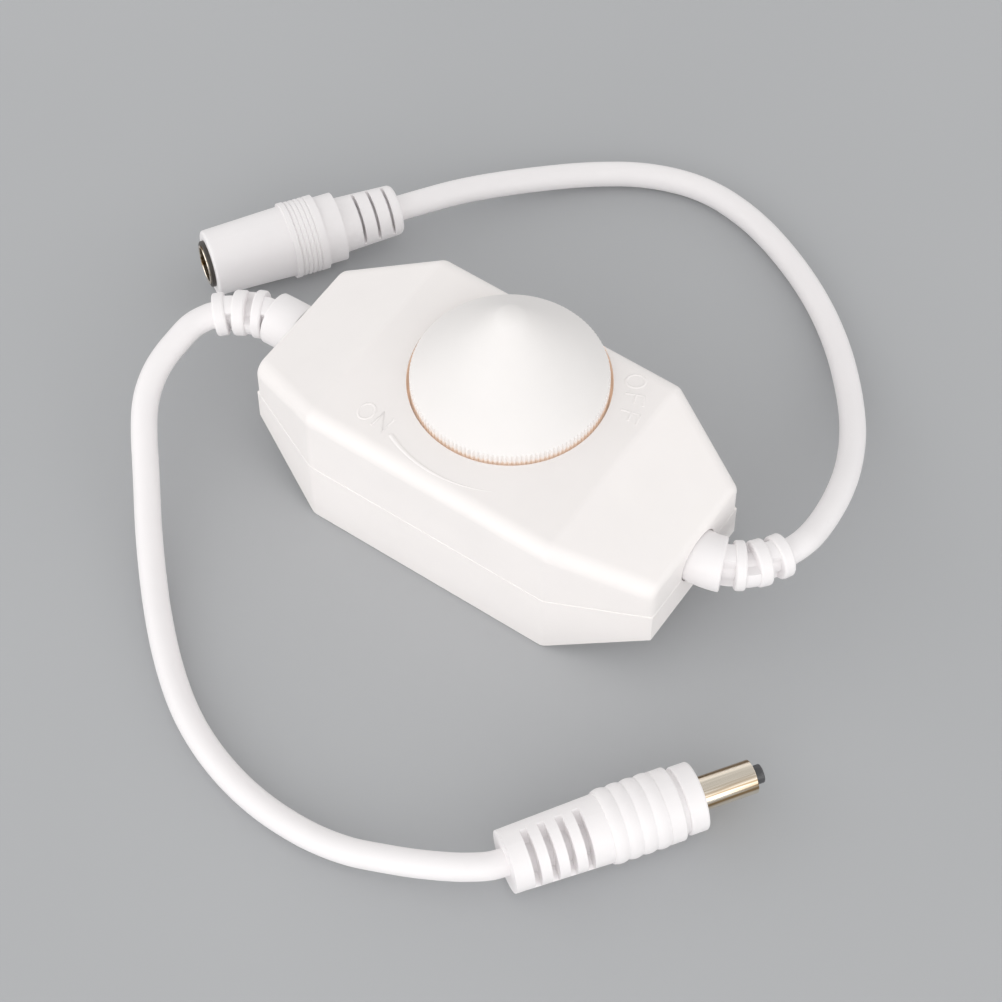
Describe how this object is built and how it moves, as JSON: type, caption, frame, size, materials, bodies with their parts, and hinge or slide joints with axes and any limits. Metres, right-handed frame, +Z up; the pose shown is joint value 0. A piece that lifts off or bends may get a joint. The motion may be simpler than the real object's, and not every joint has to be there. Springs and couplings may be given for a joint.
{
  "type": "inline led dimmer",
  "caption": "Inline low-voltage LED dimmer: tapered white housing with a conical turning knob, a socket lead at one end and a barrel plug lead at the other.",
  "frame": {"origin": "on the table under the middle of the housing's underside", "axes": "+X along the housing towards the input lead, +Y to the side where the knob stands out of the wall, +Z up"},
  "size_m": [0.1387, 0.1497, 0.0466],
  "materials": {
    "housing_white": "satin moulded shell",
    "knob_white": "satin moulded knob",
    "screw_steel": "zinc-plated steel",
    "shaft_alloy": "turned alloy",
    "bushing_brass": "nickel-plated brass",
    "can_steel": "pressed tinned steel",
    "phenolic": "brown laminate",
    "wiper_plastic": "black moulding",
    "terminal_tin": "tinned brass",
    "board_green": "solder mask",
    "chip_black": "moulded package",
    "capacitor_can": "drawn can",
    "ceramic": "fired ceramic",
    "relief_white": "soft moulded vinyl",
    "lead_white": "smooth vinyl jacket",
    "wire_red_black": "vinyl insulation",
    "connector_white": "soft moulded vinyl",
    "insert_dark": "moulded insulator",
    "nickel": "nickel plate",
    "insulator_black": "moulded insulator"
  },
  "bodies": {
    "housing": {"upper_cover": "housing_white", "lower_cover": "housing_white", "cover_screws": "screw_steel", "pot_bushing": "bushing_brass", "pot_nut": "bushing_brass", "pot_washer": "screw_steel", "pot_case": "can_steel", "pot_track": "phenolic", "pot_terminals": "terminal_tin", "circuit_board": "board_green", "mosfet": "chip_black", "timer_chip": "chip_black", "filter_capacitor": "capacitor_can", "flyback_diode": "chip_black", "chip_resistors": "chip_black", "chip_capacitors": "ceramic", "input_strain_relief": "relief_white", "output_strain_relief": "relief_white", "input_wires": "wire_red_black", "output_wires": "wire_red_black", "input_lead": "lead_white", "output_lead": "lead_white", "jack_body": "connector_white", "jack_insert": "insert_dark", "jack_pin": "nickel", "jack_spring": "nickel", "plug_body": "connector_white", "plug_barrel": "nickel", "plug_insulator": "insulator_black", "plug_contact": "nickel"},
    "knob": {"knob": "knob_white", "pot_shaft": "shaft_alloy", "pot_wiper": "wiper_plastic"}
  },
  "joints": [
    {"name": "knob_turn", "type": "hinge", "parent": "housing", "child": "knob", "pos_m": [0, 0.0046, 0], "axis": [0, 0, 1], "range_deg": [-140, 140]}
  ]
}
